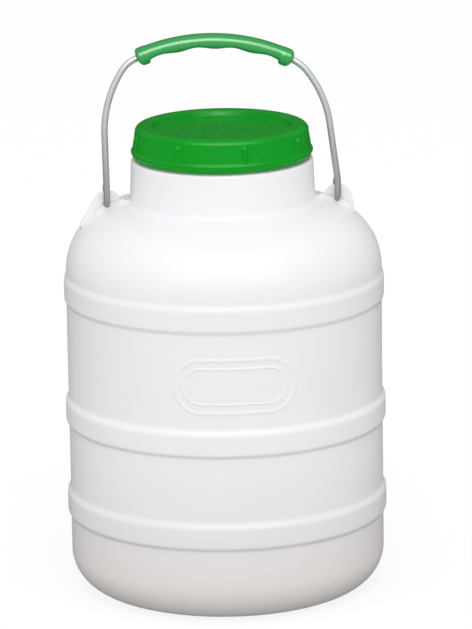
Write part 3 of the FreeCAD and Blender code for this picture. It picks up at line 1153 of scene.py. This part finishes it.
def rounded_ends(line: np.ndarray, radius: float, edge: float) -> tuple[np.ndarray, np.ndarray]:
    """Close a bar's two ends with a rounded edge.

    Args:
        line: The bar's centre line.
        radius: The bar's radius.
        edge: The radius of its rounded ends.

    Returns:
        The centre line with the ends' rings added, and the radius at each of its points.
    """
    turns = np.radians((0, 25, 50, 75, 90))
    ends = []
    for tip, inner in ((line[0], line[1]), (line[-1], line[-2])):
        step = (inner - tip) / np.linalg.norm(inner - tip)
        ends.append([tip + step * edge * (1 - math.sin(turn)) for turn in turns])
    rounded = [radius - edge + edge * math.cos(turn) for turn in turns]
    middle = [
        point
        for point in line[1:-1]
        if min(np.linalg.norm(point - line[0]), np.linalg.norm(point - line[-1])) > 1.2 * edge
    ]
    centres = ends[0][::-1] + middle + ends[1]
    return np.array(centres), np.array(rounded[::-1] + [radius] * len(middle) + rounded)


def swept(centres: np.ndarray, radii: np.ndarray, sides: int) -> np.ndarray:
    """Rings round a line, turned as little as possible from one to the next.

    Args:
        centres: The line's points.
        radii: The radius at each point.
        sides: How many points each ring has.

    Returns:
        Points by ring and place round it.
    """
    ahead = np.gradient(centres, axis=0)
    ahead /= np.linalg.norm(ahead, axis=1, keepdims=True)
    across = np.cross(ahead[0], (1.0, 0.0, 0.0))
    rings = []
    turns = full_turn(sides)
    for centre, direction, radius in zip(centres, ahead, radii):
        across = across - direction * (across @ direction)
        across /= np.linalg.norm(across)
        other = np.cross(direction, across)
        ring = np.cos(turns)[:, None] * across + np.sin(turns)[:, None] * other
        rings.append(centre + radius * ring)
    return np.array(rings)


@dataclass
class Studio:
    """Floor, light and camera.

    The camera's distance, its height and its lens are in millimetres, its angles in degrees,
    and the sizes and places of the floor and the lights in metres.
    """

    distance: float = 3051.0
    eye_z: float = 951.5
    azimuth: float = -3.5
    pitch: float = 13.888
    roll: float = 0.9
    lens: float = 252.6
    shift: float = 0.0183
    floor_reach: float = 9.0
    light_reach: float = 2.2
    light_aim_z: float = 0.2

    def floor(self, material: Material) -> None:
        """Lay a wide sheet of paper under the object.

        Args:
            material: The paper's material.
        """
        mesh = bpy.data.meshes.new("floor")
        corners = [(x * self.floor_reach, y * self.floor_reach, 0) for x, y in CORNERS]
        mesh.from_pydata(corners, [], [(0, 1, 2, 3)])
        mesh.materials.append(material)
        sheet = bpy.data.objects.new("floor", mesh)
        bpy.context.collection.objects.link(sheet)
        # The sheet glows, so the object is lit through it from below as from all round.
        sheet.visible_diffuse = False
        sheet.visible_glossy = False
        sheet.visible_shadow = False

    def softbox(
        self, name: str, azimuth: float, elevation: float, size: tuple[float, float], power: float
    ) -> Object:
        """Hang a rectangular light that faces the object.

        Args:
            name: The light's name.
            azimuth: Its direction, in degrees from the front towards +X.
            elevation: Its height, in degrees above the horizon.
            size: Its width and height, in metres.
            power: Its power, in watts.

        Returns:
            The light.
        """
        lamp = bpy.data.lights.new(name, "AREA")
        lamp.shape = "RECTANGLE"
        lamp.size, lamp.size_y = size
        lamp.energy = power
        turn, lift = math.radians(azimuth), math.radians(elevation)
        middle = Vector((0, 0, self.light_aim_z))
        away = Vector(
            (math.sin(turn) * math.cos(lift), -math.cos(turn) * math.cos(lift), math.sin(lift))
        )
        light = bpy.data.objects.new(name, lamp)
        light.location = middle + away * self.light_reach
        light.rotation_euler = away.to_track_quat("Z", "Y").to_euler()
        bpy.context.collection.objects.link(light)
        return light

    def lights(self) -> None:
        """Hang the key light and set the room's own light."""
        self.softbox("key", -1.0, 44.0, (0.8, 0.1), 8.8)
        # A wide card that only shines back from glossy skins.
        self.softbox("card", 0.0, 48.0, (3.0, 1.9), 92.0).visible_diffuse = False
        world = bpy.data.worlds.new("room")
        bpy.context.scene.world = world
        world.use_nodes = True
        tree = world.node_tree
        tree.nodes.clear()
        place = add_node(tree, "TexCoord", {}, {}).outputs["Generated"]
        away = {"operation": "DOT_PRODUCT", 1: (0.12, 0.95, -0.75)}
        behind = add_node(tree, "VectorMath", away, {0: place})
        parts = add_node(tree, "SeparateXYZ", {}, {"Vector": place})
        path = add_node(tree, "LightPath", {}, {})
        strength = {}
        for value, low, high, at_low, at_high in (
            # White in front, above and at the sides, and darker low down behind the object.
            (behind.outputs["Value"], -0.08, 0.85, 0.94, 0.15),
            # The floor under the object sends up less than the room beside it.
            (parts.outputs["Z"], -1.0, -0.36, 0.22, 1.0),
            # Glossy skins see it dimmer, so their colour stays deep between the highlights.
            (path.outputs["Is Glossy Ray"], 0.0, 1.0, 1.0, 0.5),
        ):
            fade = add_node(
                tree,
                "MapRange",
                {
                    "interpolation_type": "SMOOTHSTEP",
                    "From Min": low,
                    "From Max": high,
                    "To Min": at_low,
                    "To Max": at_high,
                },
                {"Value": value},
            )
            feeds = {**strength, 1: fade.outputs["Result"]}
            product = add_node(tree, "Math", {"operation": "MULTIPLY", 0: 1.0}, feeds)
            strength = {0: product.outputs[0]}
        # The camera sees the room in plain white.
        feeds = {0: path.outputs["Is Camera Ray"], 2: strength[0]}
        shown = add_node(tree, "Mix", {"data_type": "FLOAT", 3: 1.0}, feeds)
        feeds = {"Strength": shown.outputs[0]}
        sky = add_node(tree, "Background", {"Color": linear("#FFFFFF")}, feeds)
        add_node(tree, "OutputWorld", {}, {"Surface": sky.outputs["Background"]})

    def camera(self) -> None:
        """Set up a long lens in front of the object, looking a little down."""
        data = bpy.data.cameras.new("camera")
        data.lens = self.lens
        data.sensor_width = 36.0
        data.shift_x = self.shift
        data.clip_end = 50.0
        turn, pitch = math.radians(self.azimuth), math.radians(self.pitch)
        ahead, up = Vector((-math.sin(turn), math.cos(turn), 0.0)), Vector((0.0, 0.0, 1.0))
        look = ahead * math.cos(pitch) - up * math.sin(pitch)
        spin = Quaternion(look, math.radians(self.roll))
        camera = bpy.data.objects.new("camera", data)
        camera.location = (up * self.eye_z - ahead * self.distance) * MM
        camera.rotation_euler = (spin @ look.to_track_quat("-Z", "Y")).to_euler()
        bpy.context.collection.objects.link(camera)
        bpy.context.scene.camera = camera

    def build(self, paper: Material) -> None:
        """Lay the floor, hang the lights and set up the camera.

        Args:
            paper: The floor's material.
        """
        self.floor(paper)
        self.lights()
        self.camera()
        bpy.context.scene.view_settings.view_transform = "Standard"


def main() -> None:
    """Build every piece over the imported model."""
    logging.basicConfig(level=logging.INFO, format="%(message)s")
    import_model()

    greens = (
        polypropylene("PP_injection_moulded_green", ("#00961B", "#009B21"), 0.26, 0.16),
        polypropylene("PP_injection_moulded_light_green", ("#199C42", "#1FA148"), 0.3, 0.85),
    )
    white, lid_green, grip_green, zinc = (
        skin.build() for skin in (POLYETHYLENE, *greens, ZINC_PLATED_WIRE)
    )

    canister = Canister()
    lid = ScrewLid(ledge_z=canister.ledge_z())
    bail = Bail(ear_x=canister.ear_x(), ear_z=canister.ear_z())
    pieces = (
        canister.build(white),
        lid.build(lid_green),
        bail.build_wire(zinc),
        bail.build_grip(grip_green),
    )
    for piece in pieces:
        LOG.info("%s: %d faces", piece.name, len(piece.data.polygons))

    Studio().build(LitPaper().build())


if __name__ == "__main__":
    main()
